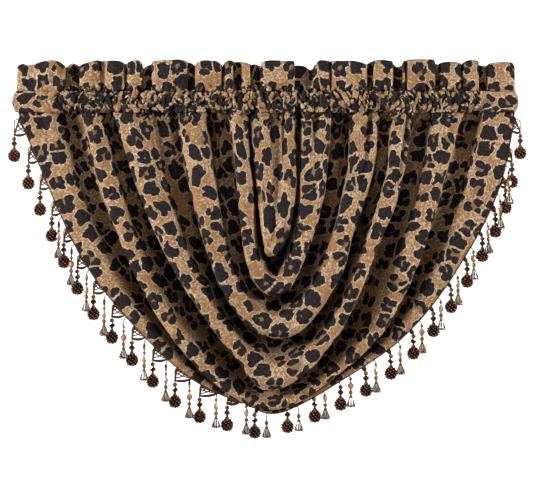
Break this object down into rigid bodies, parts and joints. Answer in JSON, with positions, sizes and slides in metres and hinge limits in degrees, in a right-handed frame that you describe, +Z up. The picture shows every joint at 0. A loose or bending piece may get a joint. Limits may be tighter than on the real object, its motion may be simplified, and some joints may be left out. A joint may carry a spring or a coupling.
{
  "type": "swag valance",
  "caption": "Gathered swag valance with a ruffled header, an open rod pocket, nested U-shaped folds and a beaded drop trim along its hem.",
  "frame": {"origin": "middle of the header's top edge, in the plane of the rod", "axes": "+X along the rod to the right seen from the front, +Y towards the wall, +Z up"},
  "size_m": [1.2687, 0.0921, 0.9295],
  "materials": {
    "jacquard": "chenille jacquard in tan and charcoal leopard spots",
    "beads": "bronze-brown glass seed beads"
  },
  "bodies": {
    "root": {"swag_panel": "jacquard", "rod_pocket": "jacquard", "header_ruffle": "jacquard", "bead_trim": "beads"}
  },
  "joints": []
}
